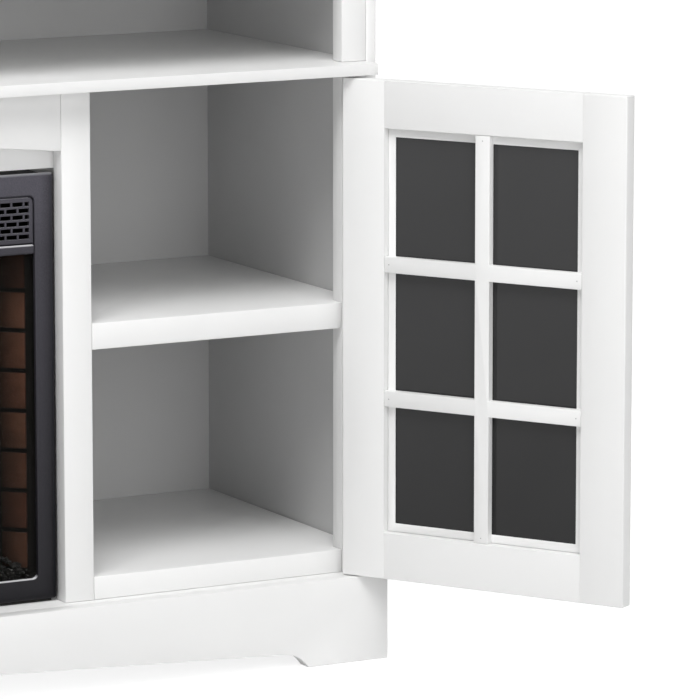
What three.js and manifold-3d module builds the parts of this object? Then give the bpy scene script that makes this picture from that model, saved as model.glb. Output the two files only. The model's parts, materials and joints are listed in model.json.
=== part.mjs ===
import * as THREE from 'three';
import { mergeVertices } from 'three/addons/utils/BufferGeometryUtils.js';
import Module from 'manifold-3d';

const wasm = await Module();
wasm.setup();

// Carcass, in millimetres
const DEPTH = 406;
const SEAT_GAP = 0.3;
const LEDGE_DEPTH = 27.8;
const PLINTH_HEIGHT = 94.4;
const APRON_THICKNESS = 20;
const PLINTH_BOARD_THICKNESS = 15;
const FOOT_WIDTH = 97;
const FOOT_CURVE_WIDTH = 33;
const APRON_END_RISE = 17;
const APRON_CENTRE_RISE = 45.6;
const SIDE_FOOT_WIDTH = 90;
const FACE_THICKNESS = 20.6;
const POST_REVEAL = 41.5;
const SIDE_THICKNESS = 12;
const CUPBOARD_OPENING = 297.9;
const STILE_WIDTH = 33.4;
const PARTITION_SETBACK = 4.1;
const PARTITION_THICKNESS = 12;
const CUPBOARD_FLOOR_THICKNESS = 25.1;
const MID_SHELF_RISE = 268.6;
const MID_SHELF_THICKNESS = 28;
const HEADER_LIFT = 23.5;
const HEADER_END_DEPTH = 63.1;
const ARCH_RISE = 20;
const TOP_SHELF_THICKNESS = 12;
const UPPER_BAY_HEIGHT = 162.6;
const TOP_BOARD_THICKNESS = 25;
const TOP_EDGE_RADIUS = 3;
const BACK_THICKNESS = 3.2;
const CABLE_HOLE_OFFSET = 180;
const CABLE_HOLE_RADIUS = 25;
const CABLE_HOLE_RISE = 49.6;
const CENTRE_FOOT_RADIUS = 28;
const CENTRE_FOOT_STEM = 20;
const CENTRE_FOOT_PAD = 8;

// Doors
const DOOR_THICKNESS = 18;
const DOOR_FOOT_CLEARANCE = 1;
const DOOR_HEAD_CLEARANCE = 2.5;
const DOOR_STANDOFF = 5;
const DOOR_FRAME_WIDTH = 51.5;
const DOOR_OPEN_ANGLE = THREE.MathUtils.degToRad(121);
const PIVOT_OFFSET = 4.1;
const PIVOT_INSET = 6;
const PIN_RADIUS = 2.5;
const PIN_HOLE_RADIUS = 2.9;
const PIN_DEPTH_IN_CARCASS = 8;
const PIN_DEPTH_IN_DOOR = 12;
const MUNTIN_WIDTH = 17.2;
const RIM_WIDTH = 9.2;
const BAR_SETBACK = 0.5;
const INNER_RIM_SETBACK = 8.5;
const GLASS_SETBACK = 10;
const GLASS_THICKNESS = 3;
const OUTER_RIM_SETBACK = 2.5;
const PANE_ROWS = 3;

// Fireplace insert
const INSERT_WIDTH = 724.4;
const INSERT_HEIGHT = 454;
const INSERT_LIFT = 3.1;
const INSERT_SIDE_GAP = 1.5;
const INSERT_TOP_GAP = 3.8;
const INSERT_RECESS = 16;
const FLANGE_THICKNESS = 4.7;
const FLANGE_SIDE = 22.6;
const FLANGE_TOP = 23;
const FLANGE_BOTTOM = 23.3;
const FLANGE_RADIUS = 3;
const MOUTH_RADIUS = 6;
const BAR_HEIGHT = 10;
const BAR_PROUD = 1;
const GRILLE_WINDOW_HEIGHT = 51.5;
const GRILLE_GROOVE = 2;
const GRILLE_LIP = 4;
const GRILLE_THICKNESS = 2;
const GRILLE_MARGIN = 4.2;
const GRILLE_ROWS = 6;
const GRILLE_COLUMNS = 12;
const GRILLE_STAGGER = 0.125;
const GRILLE_WEB = 2.1;
const HOUSING_SIDE_INSET = 5.2;
const HOUSING_TOP_INSET = 3;
const HOUSING_DEPTH = 150;
const HOUSING_WALL = 2;
const HOUSING_VENTS = 6;
const VENT_LENGTH = 60;
const VENT_HEIGHT = 6;
const VENT_MARGIN = 55;
const BRICK_DEPTH = 48;
const BRICK_RELIEF = 3;
const BRICK_SINK = 1;
const BRICK_PANEL_THICKNESS = 6;
const BRICK_BOTTOM_MARGIN = 8.5;
const BRICK_TOP_MARGIN = 5.7;
const BRICK_COURSES = 8;
const BRICK_PER_COURSE = 6.5;
const MORTAR = 4.8;
const EMBER_DEPTH = 20;
const EMBER_SIDE_GAP = 5;
const EMBER_EDGE_HEIGHT = 20;
const EMBER_CROWN = 35;
const EMBER_SHOULDER = 12;
const EMBER_LUMP = 3;
const EMBER_STEPS = 66;
const LOG_COUNT = 5;
const LOG_RADIUS = 9.5;
const LOG_LENGTH = 150;
const LOG_MARGIN = 80;
const LOG_TILT = 0.12;
const LOG_LIFT = 54;
const SPINDLE_END_INSET = 105;
const SPINDLE_RISE = 49.3;
const SPINDLE_SETBACK = 88;
const SHAFT_RADIUS = 3;
const SHAFT_CLEARANCE = 0.4;
const SPINDLE_TABS = 9;
const TAB_LENGTH = 26;
const TAB_REACH = 22;
const TAB_THICKNESS = 1.6;
const TAB_MARGIN = 16;
const BEARING_THICKNESS = 6;
const BEARING_WIDTH = 24;
const BEARING_HEAD = 10;
const MOTOR_LENGTH = 30;
const MOTOR_WIDTH = 36;
const MOTOR_HEAD = 18;
const MOTOR_BORE_DEPTH = 12;
const BLOWER_HALF_LENGTH = 150;
const BLOWER_RISE = 39;
const BLOWER_SETBACK = 62;
const BLOWER_RADIUS = 18;
const BLOWER_BLADES = 16;
const BLOWER_BLADE_DEPTH = 5;
const BLOWER_CASE_BORE = 22;
const BLOWER_CASE_WALL = 6;
const BLOWER_OUTLET = 30;
const SHAFT_END = 14;
const GLAND_RADIUS = 12;
const GLAND_FLANGE = 3;
const GLAND_STEM_RADIUS = 8;
const GLAND_LENGTH = 15;
const GLAND_BORE_RADIUS = 4;
const GLAND_BORE_DEPTH = 9;
const GLAND_INSET = 55;
const GLAND_RISE = 43.3;
const ROUND_SEGMENTS = 16;

// Levels and planes that follow from the sizes above
const FRONT = -DEPTH / 2;
const BACK = DEPTH / 2;
const FACE = FRONT + LEDGE_DEPTH;
const FACE_BACK = FACE + FACE_THICKNESS;
const BEHIND_FACE = FACE_BACK + SEAT_GAP;
const INNER_BACK = BACK - BACK_THICKNESS - SEAT_GAP;
const DECK_TOP = PLINTH_HEIGHT;
const ON_DECK = DECK_TOP + SEAT_GAP;
const INSERT_BOTTOM = DECK_TOP + INSERT_LIFT;
const INSERT_TOP = INSERT_BOTTOM + INSERT_HEIGHT;
const STILE_INNER = INSERT_WIDTH / 2 + INSERT_SIDE_GAP;
const STILE_EDGE = STILE_INNER + STILE_WIDTH;
const POST_EDGE = STILE_EDGE + CUPBOARD_OPENING;
const HALF = POST_EDGE + POST_REVEAL;
const SIDE_INNER = HALF - SIDE_THICKNESS;
const SIDE_SEAT = SIDE_INNER - SEAT_GAP;
const PARTITION_FACE = STILE_EDGE - PARTITION_SETBACK;
const PARTITION_INNER = PARTITION_FACE - PARTITION_THICKNESS;
const HEADER_END = INSERT_TOP + HEADER_LIFT;
const UNDER_SHELF = HEADER_END + HEADER_END_DEPTH;
const TOP_SHELF_UNDERSIDE = UNDER_SHELF + SEAT_GAP;
const TOP_SHELF_TOP = TOP_SHELF_UNDERSIDE + TOP_SHELF_THICKNESS;
const ON_SHELF = TOP_SHELF_TOP + SEAT_GAP;
const TOP_UNDERSIDE = TOP_SHELF_TOP + UPPER_BAY_HEIGHT;
const UNDER_TOP = TOP_UNDERSIDE - SEAT_GAP;
const HEIGHT = TOP_UNDERSIDE + TOP_BOARD_THICKNESS;
const PIVOT_X = POST_EDGE + PIVOT_OFFSET;
const PIVOT_Y = FACE - DOOR_STANDOFF - DOOR_THICKNESS / 2;

const stand = new THREE.Group();

const white = { color: 0xf4f4f3, roughness: 0.45, metalness: 0 };
const backing = { color: 0xe6e6e4, roughness: 0.6, metalness: 0 };
const tinted = { color: 0x3f3f3f, roughness: 0.12, metalness: 0 };
const steel = { color: 0xb4b6b8, roughness: 0.35, metalness: 0.9 };
const charcoal = { color: 0x47454b, roughness: 0.4, metalness: 0.3 };
const blackened = { color: 0x1d1c1d, roughness: 0.6, metalness: 0.2 };
const brick = { color: 0x6b4633, roughness: 0.9, metalness: 0 };
const ember = { color: 0x2a211c, roughness: 0.9, metalness: 0 };
const amber = { color: 0xc98a3c, roughness: 0.3, metalness: 0.6 };

function bare(geometry) {
  const plain = geometry.clone();
  plain.deleteAttribute('normal');
  plain.deleteAttribute('uv');
  return mergeVertices(plain);
}

function toSolid(geometry) {
  const plain = bare(geometry);
  const vertProperties = new Float32Array(plain.attributes.position.array);
  const triVerts = new Uint32Array(plain.index.array);
  return new wasm.Manifold(new wasm.Mesh({ numProp: 3, vertProperties, triVerts }));
}

function fromSolid(solid) {
  const mesh = solid.getMesh();
  const geometry = new THREE.BufferGeometry();
  geometry.setAttribute('position', new THREE.BufferAttribute(mesh.vertProperties, 3));
  geometry.setIndex(new THREE.BufferAttribute(mesh.triVerts, 1));
  return geometry;
}

function join(geometries) {
  return fromSolid(geometries.map(toSolid).reduce((whole, solid) => whole.add(solid)));
}

function cut(geometry, tools) {
  return fromSolid(tools.map(toSolid).reduce((whole, tool) => whole.subtract(tool), toSolid(geometry)));
}

function mirrored(geometry) {
  const copy = bare(geometry);
  copy.scale(-1, 1, 1);
  const order = copy.index.array;
  for (let first = 0; first < order.length; first += 3) {
    [order[first + 1], order[first + 2]] = [order[first + 2], order[first + 1]];
  }
  return copy;
}

function addPiece(name, geometry, finish, parent = stand) {
  const faceted = bare(geometry).toNonIndexed();
  faceted.computeVertexNormals();
  const mesh = new THREE.Mesh(faceted, new THREE.MeshStandardMaterial(finish));
  mesh.name = name;
  parent.add(mesh);
}

function addPair(name, geometry, finish) {
  addPiece(`${name}_right`, geometry, finish);
  addPiece(`${name}_left`, mirrored(geometry), finish);
}

function board(x0, x1, y0, y1, z0, z1) {
  const geometry = new THREE.BoxGeometry(x1 - x0, y1 - y0, z1 - z0);
  return geometry.translate((x0 + x1) / 2, (y0 + y1) / 2, (z0 + z1) / 2);
}

function wideBoard(halfWidth, y0, y1, z0, z1) {
  return board(-halfWidth, halfWidth, y0, y1, z0, z1);
}

function outline(points) {
  return new THREE.Shape(points.map(([x, y]) => new THREE.Vector2(x, y)));
}

function plank(shape, y0, y1) {
  const geometry = new THREE.ExtrudeGeometry(shape, { depth: y1 - y0, bevelEnabled: false });
  return geometry.rotateX(Math.PI / 2).translate(0, y1, 0);
}

function plan(shape, z0, z1) {
  const geometry = new THREE.ExtrudeGeometry(shape, { depth: z1 - z0, bevelEnabled: false });
  return geometry.translate(0, 0, z0);
}

function section(shape, x0, x1) {
  const geometry = new THREE.ExtrudeGeometry(shape, { depth: x1 - x0, bevelEnabled: false });
  const alongX = new THREE.Matrix4().makeBasis(
    new THREE.Vector3(0, 1, 0),
    new THREE.Vector3(0, 0, 1),
    new THREE.Vector3(1, 0, 0),
  );
  return geometry.applyMatrix4(alongX).translate(x0, 0, 0);
}

function upright(radius, x, y, z0, z1) {
  const geometry = new THREE.CylinderGeometry(radius, radius, z1 - z0, ROUND_SEGMENTS);
  return geometry.rotateX(Math.PI / 2).translate(x, y, (z0 + z1) / 2);
}

function axle(radius, x0, x1, y, z) {
  const geometry = new THREE.CylinderGeometry(radius, radius, x1 - x0, ROUND_SEGMENTS);
  return geometry.rotateZ(Math.PI / 2).translate((x0 + x1) / 2, y, z);
}

// Board standing on two bracket feet: each foot sweeps up to a lower edge that rises to the middle
function bracketBoard(start, end, top, footWidth, centreRise) {
  const middle = (start + end) / 2;
  const shape = new THREE.Shape();
  shape.moveTo(start, 0);
  shape.lineTo(start + footWidth, 0);
  shape.quadraticCurveTo(
    start + footWidth + FOOT_CURVE_WIDTH / 3, APRON_END_RISE,
    start + footWidth + FOOT_CURVE_WIDTH, APRON_END_RISE,
  );
  shape.lineTo(middle, centreRise);
  shape.lineTo(end - footWidth - FOOT_CURVE_WIDTH, APRON_END_RISE);
  shape.quadraticCurveTo(
    end - footWidth - FOOT_CURVE_WIDTH / 3, APRON_END_RISE,
    end - footWidth, 0,
  );
  shape.lineTo(end, 0);
  shape.lineTo(end, top);
  shape.lineTo(start, top);
  return shape;
}

function pinHoles(z0, z1) {
  return [PIVOT_X, -PIVOT_X].map((x) => upright(PIN_HOLE_RADIUS, x, PIVOT_Y, z0, z1));
}

// Plinth
const apron = plank(
  bracketBoard(-HALF, HALF, PLINTH_HEIGHT, FOOT_WIDTH, APRON_CENTRE_RISE),
  FRONT, FRONT + APRON_THICKNESS,
);
const apronHoleBottom = PLINTH_HEIGHT - PIN_DEPTH_IN_CARCASS - SEAT_GAP;
addPiece('plinth_apron', cut(apron, pinHoles(apronHoleBottom, PLINTH_HEIGHT + 1)), white);
const behindApron = FRONT + APRON_THICKNESS + SEAT_GAP;
const plinthInner = HALF - PLINTH_BOARD_THICKNESS;
addPair('plinth_side', section(
  bracketBoard(behindApron, BACK, PLINTH_HEIGHT, SIDE_FOOT_WIDTH, APRON_END_RISE),
  plinthInner, HALF,
), white);
const deckHalf = plinthInner - SEAT_GAP;
const deckBottom = DECK_TOP - PLINTH_BOARD_THICKNESS;
const underDeck = deckBottom - SEAT_GAP;
addPiece('plinth_deck', wideBoard(deckHalf, behindApron, INNER_BACK, deckBottom, DECK_TOP), white);
addPiece('plinth_rear_rail', plank(
  bracketBoard(-deckHalf, deckHalf, underDeck, FOOT_WIDTH, APRON_CENTRE_RISE),
  INNER_BACK - PLINTH_BOARD_THICKNESS, INNER_BACK,
), white);
const footProfile = [
  new THREE.Vector2(0, 0),
  new THREE.Vector2(CENTRE_FOOT_RADIUS, 0),
  new THREE.Vector2(CENTRE_FOOT_RADIUS, CENTRE_FOOT_PAD),
  new THREE.Vector2(CENTRE_FOOT_STEM, CENTRE_FOOT_PAD * 2),
  new THREE.Vector2(CENTRE_FOOT_STEM, underDeck),
  new THREE.Vector2(0, underDeck),
];
addPiece('centre_foot', new THREE.LatheGeometry(footProfile, ROUND_SEGMENTS).rotateX(Math.PI / 2), white);

// Carcass boards
addPair('side_panel', board(SIDE_INNER, HALF, FACE, BACK, ON_DECK, UNDER_TOP), white);
addPair('bay_partition', board(
  PARTITION_INNER, PARTITION_FACE, BEHIND_FACE, INNER_BACK, ON_DECK, UNDER_SHELF,
), white);
addPair('lower_post', board(POST_EDGE, SIDE_SEAT, FACE, FACE_BACK, ON_DECK, UNDER_SHELF), white);
addPair('upper_post', board(POST_EDGE, SIDE_SEAT, FACE, FACE_BACK, ON_SHELF, UNDER_TOP), white);
addPair('fireplace_stile', board(STILE_INNER, STILE_EDGE, FACE, FACE_BACK, ON_DECK, UNDER_SHELF), white);

// Shelf whose front edge fills the opening and whose body widens behind the face frame
const notchedShelf = outline([
  [STILE_EDGE + SEAT_GAP, FACE],
  [POST_EDGE - SEAT_GAP, FACE],
  [POST_EDGE - SEAT_GAP, BEHIND_FACE],
  [SIDE_SEAT, BEHIND_FACE],
  [SIDE_SEAT, INNER_BACK],
  [PARTITION_FACE + SEAT_GAP, INNER_BACK],
  [PARTITION_FACE + SEAT_GAP, BEHIND_FACE],
  [STILE_EDGE + SEAT_GAP, BEHIND_FACE],
]);
addPair('cupboard_floor', plan(notchedShelf, ON_DECK, DECK_TOP + CUPBOARD_FLOOR_THICKNESS), white);
const midShelfUnderside = DECK_TOP + MID_SHELF_RISE;
addPair('cupboard_shelf', plan(
  notchedShelf, midShelfUnderside, midShelfUnderside + MID_SHELF_THICKNESS,
), white);

const headerHalf = STILE_INNER - SEAT_GAP;
const header = new THREE.Shape();
header.moveTo(-headerHalf, HEADER_END);
header.quadraticCurveTo(0, HEADER_END + ARCH_RISE * 2, headerHalf, HEADER_END);
header.lineTo(headerHalf, UNDER_SHELF);
header.lineTo(-headerHalf, UNDER_SHELF);
addPiece('arched_header', plank(header, FACE, FACE_BACK), white);
addPiece('header_backing', wideBoard(
  PARTITION_INNER - SEAT_GAP, BEHIND_FACE, BEHIND_FACE + PARTITION_THICKNESS,
  INSERT_TOP + INSERT_TOP_GAP, UNDER_SHELF,
), white);

const topShelf = wideBoard(SIDE_SEAT, FRONT, INNER_BACK, TOP_SHELF_UNDERSIDE, TOP_SHELF_TOP);
const shelfHoleTop = TOP_SHELF_UNDERSIDE + PIN_DEPTH_IN_CARCASS + SEAT_GAP;
addPiece('top_shelf', cut(topShelf, pinHoles(TOP_SHELF_UNDERSIDE - 1, shelfHoleTop)), white);
addPiece('upper_divider', wideBoard(SIDE_THICKNESS / 2, FACE, INNER_BACK, ON_SHELF, UNDER_TOP), white);

const topProfile = new THREE.Shape();
topProfile.moveTo(FRONT + TOP_EDGE_RADIUS, TOP_UNDERSIDE);
topProfile.lineTo(BACK, TOP_UNDERSIDE);
topProfile.lineTo(BACK, HEIGHT);
topProfile.lineTo(FRONT + TOP_EDGE_RADIUS, HEIGHT);
topProfile.quadraticCurveTo(FRONT, HEIGHT, FRONT, HEIGHT - TOP_EDGE_RADIUS);
topProfile.lineTo(FRONT, TOP_UNDERSIDE + TOP_EDGE_RADIUS);
topProfile.quadraticCurveTo(FRONT, TOP_UNDERSIDE, FRONT + TOP_EDGE_RADIUS, TOP_UNDERSIDE);
addPiece('top_board', section(topProfile, -HALF, HALF), white);

const backFront = BACK - BACK_THICKNESS;
const cableHoles = [-CABLE_HOLE_OFFSET, CABLE_HOLE_OFFSET].map((x) => new THREE
  .CylinderGeometry(CABLE_HOLE_RADIUS, CABLE_HOLE_RADIUS, DEPTH, ROUND_SEGMENTS)
  .translate(x, 0, TOP_SHELF_TOP + CABLE_HOLE_RISE));
addPiece('upper_back', cut(
  wideBoard(SIDE_SEAT, backFront, BACK, TOP_SHELF_UNDERSIDE + SEAT_GAP, UNDER_TOP),
  cableHoles,
), backing);
addPair('cupboard_back', board(PARTITION_INNER, SIDE_SEAT, backFront, BACK, ON_DECK, UNDER_SHELF), backing);

// Doors: pieces are laid out closed, about the pivot line of the right-hand door
const doorBottom = DECK_TOP + DOOR_FOOT_CLEARANCE;
const doorTop = TOP_SHELF_UNDERSIDE - DOOR_HEAD_CLEARANCE;
const hingeEdge = PIVOT_X + PIVOT_INSET;
const freeEdge = STILE_INNER;
const doorInside = FACE - DOOR_STANDOFF;
const doorOutside = doorInside - DOOR_THICKNESS;
const hingeStileEdge = hingeEdge - DOOR_FRAME_WIDTH;
const freeStileEdge = freeEdge + DOOR_FRAME_WIDTH;
const lowerRailTop = doorBottom + DOOR_FRAME_WIDTH;
const upperRailBottom = doorTop - DOOR_FRAME_WIDTH;
const latticeLeft = freeStileEdge + SEAT_GAP;
const latticeRight = hingeStileEdge - SEAT_GAP;
const latticeBottom = lowerRailTop + SEAT_GAP;
const latticeTop = upperRailBottom - SEAT_GAP;

const doorRight = new THREE.Group();
doorRight.position.set(PIVOT_X, PIVOT_Y, 0);
doorRight.rotation.z = DOOR_OPEN_ANGLE;
const doorLeft = new THREE.Group();
doorLeft.position.set(-PIVOT_X, PIVOT_Y, 0);
stand.add(doorRight, doorLeft);

function addDoorPair(name, geometry, finish) {
  const aboutPivot = geometry.clone().translate(-PIVOT_X, -PIVOT_Y, 0);
  addPiece(`door_${name}_right`, aboutPivot, finish, doorRight);
  addPiece(`door_${name}_left`, mirrored(aboutPivot), finish, doorLeft);
}

const stilePinHoles = [
  upright(PIN_HOLE_RADIUS, PIVOT_X, PIVOT_Y, doorTop - PIN_DEPTH_IN_DOOR - SEAT_GAP, doorTop + 1),
  upright(PIN_HOLE_RADIUS, PIVOT_X, PIVOT_Y, doorBottom - 1, doorBottom + PIN_DEPTH_IN_DOOR + SEAT_GAP),
];
const hingeStile = board(hingeStileEdge, hingeEdge, doorOutside, doorInside, doorBottom, doorTop);
addDoorPair('hinge_stile', cut(hingeStile, stilePinHoles), white);
addDoorPair('free_stile', board(
  freeEdge, freeStileEdge, doorOutside, doorInside, doorBottom, doorTop,
), white);
addDoorPair('top_rail', board(
  latticeLeft, latticeRight, doorOutside, doorInside, upperRailBottom, doorTop,
), white);
addDoorPair('bottom_rail', board(
  latticeLeft, latticeRight, doorOutside, doorInside, doorBottom, lowerRailTop,
), white);

const paneLeft = latticeLeft + RIM_WIDTH;
const paneRight = latticeRight - RIM_WIDTH;
const paneBottom = latticeBottom + RIM_WIDTH;
const paneTop = latticeTop - RIM_WIDTH;
const paneWidth = (paneRight - paneLeft - MUNTIN_WIDTH) / 2;
const paneHeight = (paneTop - paneBottom - MUNTIN_WIDTH * (PANE_ROWS - 1)) / PANE_ROWS;

// Glazing grid: a rim against the door frame, crossed by bars that stand proud of it
function lattice(backPlane, rimPlane, barPlane) {
  const rim = outline([
    [latticeLeft, latticeBottom], [latticeRight, latticeBottom],
    [latticeRight, latticeTop], [latticeLeft, latticeTop],
  ]);
  rim.holes.push(outline([
    [paneLeft, paneBottom], [paneRight, paneBottom],
    [paneRight, paneTop], [paneLeft, paneTop],
  ]));
  const rimFront = Math.min(backPlane, rimPlane);
  const rimBack = Math.max(backPlane, rimPlane);
  const barFront = Math.min(backPlane, barPlane);
  const barBack = Math.max(backPlane, barPlane);
  const middleX = paneLeft + paneWidth;
  const pieces = [
    plank(rim, rimFront, rimBack),
    board(middleX, middleX + MUNTIN_WIDTH, barFront, barBack, latticeBottom, latticeTop),
  ];
  for (let row = 1; row < PANE_ROWS; row += 1) {
    const barBottom = paneBottom + row * paneHeight + (row - 1) * MUNTIN_WIDTH;
    pieces.push(board(latticeLeft, latticeRight, barFront, barBack, barBottom, barBottom + MUNTIN_WIDTH));
  }
  return join(pieces);
}
const glassInside = doorInside - GLASS_SETBACK;
const glassOutside = glassInside - GLASS_THICKNESS;
addDoorPair('inner_grid', lattice(
  glassInside + SEAT_GAP, doorInside - INNER_RIM_SETBACK, doorInside - BAR_SETBACK,
), white);
addDoorPair('outer_grid', lattice(
  glassOutside - SEAT_GAP, doorOutside + OUTER_RIM_SETBACK, doorOutside + BAR_SETBACK,
), white);
addDoorPair('glass', board(
  latticeLeft, latticeRight, glassOutside, glassInside, latticeBottom, latticeTop,
), tinted);

const lowerPinBottom = PLINTH_HEIGHT - PIN_DEPTH_IN_CARCASS;
const upperPinTop = TOP_SHELF_UNDERSIDE + PIN_DEPTH_IN_CARCASS;
addPair('lower_pivot_pin', upright(
  PIN_RADIUS, PIVOT_X, PIVOT_Y, lowerPinBottom, doorBottom + PIN_DEPTH_IN_DOOR,
), steel);
addPair('upper_pivot_pin', upright(
  PIN_RADIUS, PIVOT_X, PIVOT_Y, doorTop - PIN_DEPTH_IN_DOOR, upperPinTop,
), steel);

// Insert front
const flangeFront = FACE + INSERT_RECESS;
const flangeBack = flangeFront + FLANGE_THICKNESS;
const flangeHalf = INSERT_WIDTH / 2;
const mouthHalf = flangeHalf - FLANGE_SIDE;
const mouthBottom = INSERT_BOTTOM + FLANGE_BOTTOM;
const mouthTop = INSERT_TOP - FLANGE_TOP;
const barTop = mouthTop - GRILLE_WINDOW_HEIGHT;
const barBottom = barTop - BAR_HEIGHT;

// Panel outline with square lower corners and rounded upper ones
function shoulderedPanel(halfWidth, z0, z1, radius) {
  const panel = new THREE.Shape();
  panel.moveTo(-halfWidth, z0);
  panel.lineTo(halfWidth, z0);
  panel.lineTo(halfWidth, z1 - radius);
  panel.quadraticCurveTo(halfWidth, z1, halfWidth - radius, z1);
  panel.lineTo(-halfWidth + radius, z1);
  panel.quadraticCurveTo(-halfWidth, z1, -halfWidth, z1 - radius);
  return panel;
}
const mouth = new THREE.Shape();
mouth.moveTo(-mouthHalf, mouthBottom + MOUTH_RADIUS);
mouth.quadraticCurveTo(-mouthHalf, mouthBottom, -mouthHalf + MOUTH_RADIUS, mouthBottom);
mouth.lineTo(mouthHalf - MOUTH_RADIUS, mouthBottom);
mouth.quadraticCurveTo(mouthHalf, mouthBottom, mouthHalf, mouthBottom + MOUTH_RADIUS);
mouth.lineTo(mouthHalf, mouthTop - MOUTH_RADIUS);
mouth.quadraticCurveTo(mouthHalf, mouthTop, mouthHalf - MOUTH_RADIUS, mouthTop);
mouth.lineTo(-mouthHalf + MOUTH_RADIUS, mouthTop);
mouth.quadraticCurveTo(-mouthHalf, mouthTop, -mouthHalf, mouthTop - MOUTH_RADIUS);
const flange = shoulderedPanel(flangeHalf, INSERT_BOTTOM, INSERT_TOP, FLANGE_RADIUS);
flange.holes.push(mouth);
addPiece('insert_flange', plank(flange, flangeFront, flangeBack), charcoal);
addPiece('insert_bar', wideBoard(
  mouthHalf - SEAT_GAP, flangeFront - BAR_PROUD, flangeBack, barBottom, barTop,
), charcoal);

// Grille: a slotted plate set back from the flange by a groove, on a lip that seats behind it
const grilleHalf = mouthHalf - GRILLE_GROOVE;
const grilleBottom = barTop + GRILLE_GROOVE;
const grilleTop = mouthTop - GRILLE_GROOVE;
const grilleFront = flangeFront + SEAT_GAP;
const grilleBack = grilleFront + GRILLE_THICKNESS;
const lipFront = flangeBack + SEAT_GAP;
const lipBack = lipFront + GRILLE_THICKNESS;
const slotFieldHalf = grilleHalf - GRILLE_MARGIN;
const slotFieldBottom = grilleBottom + GRILLE_MARGIN;
const slotFieldTop = grilleTop - GRILLE_MARGIN;
const slotRowPitch = (slotFieldTop - slotFieldBottom + GRILLE_WEB) / GRILLE_ROWS;
const slotColumnPitch = (slotFieldHalf * 2 + GRILLE_WEB) / GRILLE_COLUMNS;
const slots = [wideBoard(slotFieldHalf + 1, grilleBack, lipBack + 1, slotFieldBottom - 1, slotFieldTop + 1)];
for (let row = 0; row < GRILLE_ROWS; row += 1) {
  const slotBottom = slotFieldBottom + row * slotRowPitch;
  const slotTop = slotBottom + slotRowPitch - GRILLE_WEB;
  const stagger = (row % 2) * slotColumnPitch * GRILLE_STAGGER;
  for (let column = 0; column <= GRILLE_COLUMNS; column += 1) {
    const slotStart = -slotFieldHalf + column * slotColumnPitch - stagger;
    const left = Math.max(slotStart, -slotFieldHalf);
    const right = Math.min(slotStart + slotColumnPitch - GRILLE_WEB, slotFieldHalf);
    if (right > left + GRILLE_WEB) {
      slots.push(board(left, right, grilleFront - 1, grilleBack + 1, slotBottom, slotTop));
    }
  }
}
const grillePlate = join([
  plank(shoulderedPanel(grilleHalf, grilleBottom, grilleTop, MOUTH_RADIUS), grilleFront, lipBack),
  wideBoard(mouthHalf + GRILLE_LIP, lipFront, lipBack, barTop - GRILLE_LIP, mouthTop + GRILLE_LIP),
]);
addPiece('insert_grille', cut(grillePlate, slots), charcoal);

// Insert box: fire chamber below, fan chamber above, both open to the front
const boxFront = flangeBack + SEAT_GAP;
const boxBack = boxFront + HOUSING_DEPTH;
const housingHalf = flangeHalf - HOUSING_SIDE_INSET;
const housingTop = INSERT_TOP - HOUSING_TOP_INSET;
const chamberHalf = housingHalf - HOUSING_WALL;
const chamberFloor = ON_DECK + HOUSING_WALL;
const chamberBack = boxBack - HOUSING_WALL;
const fanFloor = barBottom + HOUSING_WALL;
const fanRoof = housingTop - HOUSING_WALL;
const spindleY = boxFront + SPINDLE_SETBACK;
const spindleZ = chamberFloor + SPINDLE_RISE;
const blowerY = boxFront + BLOWER_SETBACK;
const blowerZ = fanFloor + BLOWER_RISE;
const ventPitch = (chamberHalf - VENT_MARGIN) * 2 / HOUSING_VENTS;
const rearVents = [];
for (let vent = 0; vent < HOUSING_VENTS; vent += 1) {
  const ventX = (vent - (HOUSING_VENTS - 1) / 2) * ventPitch;
  rearVents.push(board(
    ventX - VENT_LENGTH / 2, ventX + VENT_LENGTH / 2, chamberBack - 1, boxBack + 1,
    blowerZ, blowerZ + VENT_HEIGHT,
  ));
}
const box = cut(wideBoard(housingHalf, boxFront, boxBack, ON_DECK, housingTop), [
  wideBoard(chamberHalf, boxFront - 1, chamberBack, chamberFloor, barBottom),
  wideBoard(chamberHalf, boxFront - 1, chamberBack, fanFloor, fanRoof),
  ...rearVents,
]);

function bearing(endX, y, z, floor) {
  const plate = board(
    endX - BEARING_THICKNESS, endX, y - BEARING_WIDTH / 2, y + BEARING_WIDTH / 2,
    floor - 1, z + BEARING_HEAD,
  );
  return cut(plate, [axle(
    SHAFT_RADIUS + SHAFT_CLEARANCE, endX - BEARING_THICKNESS - 1, endX + 1, y, z,
  )]);
}
const spindleHalf = chamberHalf - SPINDLE_END_INSET;
const spindleBearingX = -spindleHalf + BEARING_THICKNESS;
const blowerBearingX = -BLOWER_HALF_LENGTH - BEARING_THICKNESS;
addPiece('insert_housing', join([
  box,
  bearing(spindleBearingX, spindleY, spindleZ, chamberFloor),
  bearing(blowerBearingX, blowerY, blowerZ, fanFloor),
]), blackened);

const windowFront = flangeBack + SEAT_GAP;
const windowBack = windowFront + GLASS_THICKNESS;
addPiece('insert_glass', wideBoard(
  chamberHalf - SEAT_GAP, windowFront, windowBack,
  chamberFloor + SEAT_GAP, barBottom - SEAT_GAP,
), tinted);

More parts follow.
